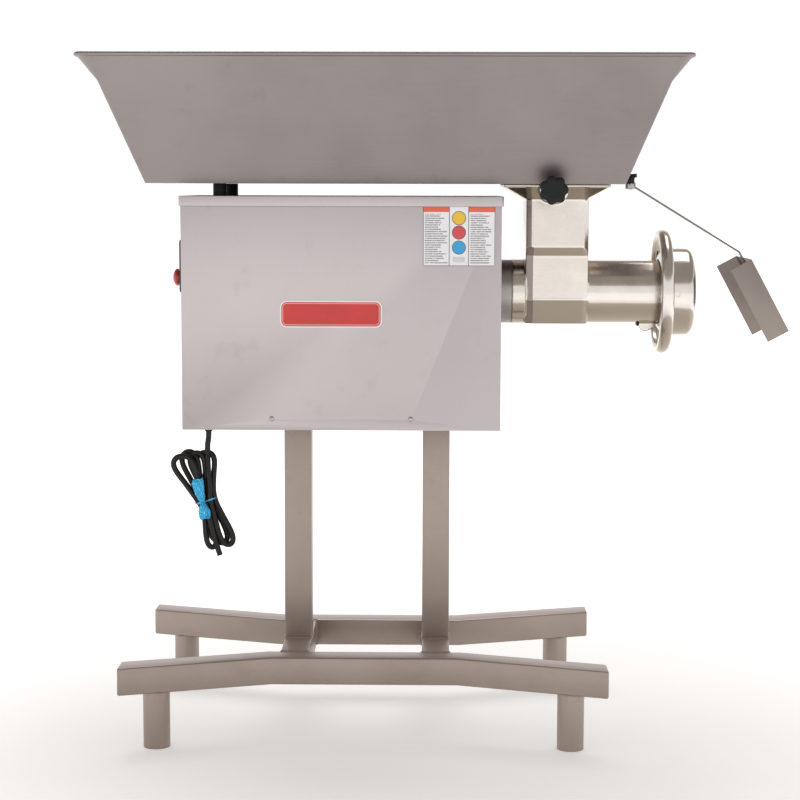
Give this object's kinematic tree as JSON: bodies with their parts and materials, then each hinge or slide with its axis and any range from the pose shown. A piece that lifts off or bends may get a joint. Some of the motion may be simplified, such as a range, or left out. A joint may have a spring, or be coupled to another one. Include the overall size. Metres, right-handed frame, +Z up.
{
  "type": "meat grinder",
  "caption": "Floor-standing electric meat grinder: feed pan over a steel cabinet, cast head with auger and ring nut at the right, swinging splash guard, square-tube stand, tied-up cord.",
  "frame": {"origin": "on the floor under the middle of the machine's bounding box, cord left out", "axes": "+X towards the outlet end, +Y towards the back panel, +Z up"},
  "size_m": [1.277, 0.5546, 1.2375],
  "materials": {
    "stand_tube": "satin, lightly soiled",
    "cabinet_sheet": "brushed lengthwise",
    "pan_sheet": "satin",
    "guard_steel": "satin",
    "hub_steel": "turned",
    "head_casting": "cast and polished",
    "machined_steel": "machined",
    "bearing_steel": "ground",
    "fastener": "zinc plated",
    "laminations": "stacked sheet",
    "winding_copper": "varnished",
    "motor_casting": "gloss enamel",
    "gearbox_casting": "gloss enamel",
    "painted_steel": "semi-gloss",
    "black_plastic": "moulded",
    "switch_plastic": "moulded",
    "white_plastic": "turned",
    "green_button": "gloss",
    "red_button": "gloss",
    "red_badge": "gloss with pale border",
    "label_print": "printed film",
    "black_rubber": "moulded",
    "cord_rubber": "smooth jacket",
    "tie_film": "crinkled film"
  },
  "bodies": {
    "machine": {"front_bar": "stand_tube", "rear_bar": "stand_tube", "left_cross_tube": "stand_tube", "right_cross_tube": "stand_tube", "left_upright": "stand_tube", "right_upright": "stand_tube", "feet": "stand_tube", "mounting_plates": "stand_tube", "stand_bolts": "fastener", "cabinet_tray": "cabinet_sheet", "cabinet_shell": "cabinet_sheet", "rear_panel": "cabinet_sheet", "cabinet_lid": "cabinet_sheet", "panel_screws": "fastener", "pan_posts": "black_rubber", "front_badge": "red_badge", "info_label": "label_print", "switch_bezel": "switch_plastic", "switch_block": "switch_plastic", "cord_gland": "black_plastic", "motor_housing": "motor_casting", "stator_core": "laminations", "stator_windings": "winding_copper", "motor_end_bells": "motor_casting", "fan_cover": "painted_steel", "motor_bearings": "bearing_steel", "gearbox_housing": "gearbox_casting", "gearbox_cover": "gearbox_casting", "gearbox_bracket": "painted_steel", "gearbox_bearings": "bearing_steel", "shaft_seal": "black_rubber", "hub_ring": "hub_steel", "grinding_head": "head_casting", "grinding_plate": "machined_steel", "cord_tube": "cord_rubber", "cord_hank": "cord_rubber", "cord_tie": "tie_film"},
    "feed_drive": {"output_gear": "machined_steel", "output_shaft": "machined_steel", "auger": "head_casting", "knife": "machined_steel"},
    "layshaft_group": {"layshaft": "machined_steel", "layshaft_gear": "machined_steel"},
    "motor_rotor": {"motor_shaft": "machined_steel", "rotor_core": "laminations", "cooling_fan": "black_plastic", "motor_pinion": "machined_steel"},
    "ring_follower": {"thrust_ring": "white_plastic"},
    "ring": {"ring_nut": "head_casting"},
    "clamp_follower": {"clamp_pad": "white_plastic"},
    "clamp": {"clamp_screw": "machined_steel", "clamp_knob": "black_plastic"},
    "pan": {"feed_pan": "pan_sheet", "pan_spout": "pan_sheet", "guard_bracket": "black_plastic", "guard_bolt": "fastener"},
    "guard": {"guard_arm": "guard_steel", "guard_channel": "guard_steel"},
    "start": {"start_button": "green_button"},
    "stop": {"stop_button": "red_button"}
  },
  "joints": [
    {"name": "feed_spin", "type": "hinge", "parent": "machine", "child": "feed_drive", "pos_m": [0.1096, 0, 0.812], "axis": [1, 0, 0], "continuous": true},
    {"name": "layshaft_spin", "type": "hinge", "parent": "machine", "child": "layshaft_group", "pos_m": [0.1096, 0.05142, 0.74083], "axis": [1, 0, 0], "continuous": true},
    {"name": "motor_spin", "type": "hinge", "parent": "machine", "child": "motor_rotor", "pos_m": [0.1096, 0, 0.69], "axis": [1, 0, 0], "continuous": true},
    {"name": "ring_travel", "type": "slide", "parent": "machine", "child": "ring_follower", "axis": [1, 0, 0], "range_m": [0, 0.0151]},
    {"name": "ring_turn", "type": "hinge", "parent": "ring_follower", "child": "ring", "pos_m": [0.4296, 0, 0.812], "axis": [1, 0, 0], "range_deg": [0, 1080]},
    {"name": "clamp_travel", "type": "slide", "parent": "machine", "child": "clamp_follower", "axis": [0, -1, 0], "range_m": [0, 0.00755]},
    {"name": "clamp_turn", "type": "hinge", "parent": "clamp_follower", "child": "clamp", "pos_m": [0.2006, -0.12, 1.0007], "axis": [0, -1, 0], "range_deg": [0, 1800]},
    {"name": "pan_lift", "type": "slide", "parent": "machine", "child": "pan", "axis": [0, 0, 1], "range_m": [0, 0.3]},
    {"name": "guard_swing", "type": "hinge", "parent": "pan", "child": "guard", "pos_m": [0.3546, 0, 1.011], "axis": [0, -1, 0], "range_deg": [-10, 90]},
    {"name": "start_press", "type": "slide", "parent": "machine", "child": "start", "axis": [1, 0, 0], "range_m": [0, 0.0035], "stiffness_N_per_m": 900},
    {"name": "stop_press", "type": "slide", "parent": "machine", "child": "stop", "axis": [1, 0, 0], "range_m": [0, 0.004], "stiffness_N_per_m": 900}
  ],
  "couplings": [
    {"joint": "layshaft_spin", "follows": "feed_spin", "ratio": -2.8889},
    {"joint": "motor_spin", "follows": "feed_spin", "ratio": 8.6667},
    {"joint": "ring_travel", "follows": "ring_turn", "m_per_rad": 0.00079577},
    {"joint": "clamp_travel", "follows": "clamp_turn", "m_per_rad": 0.00023873}
  ]
}
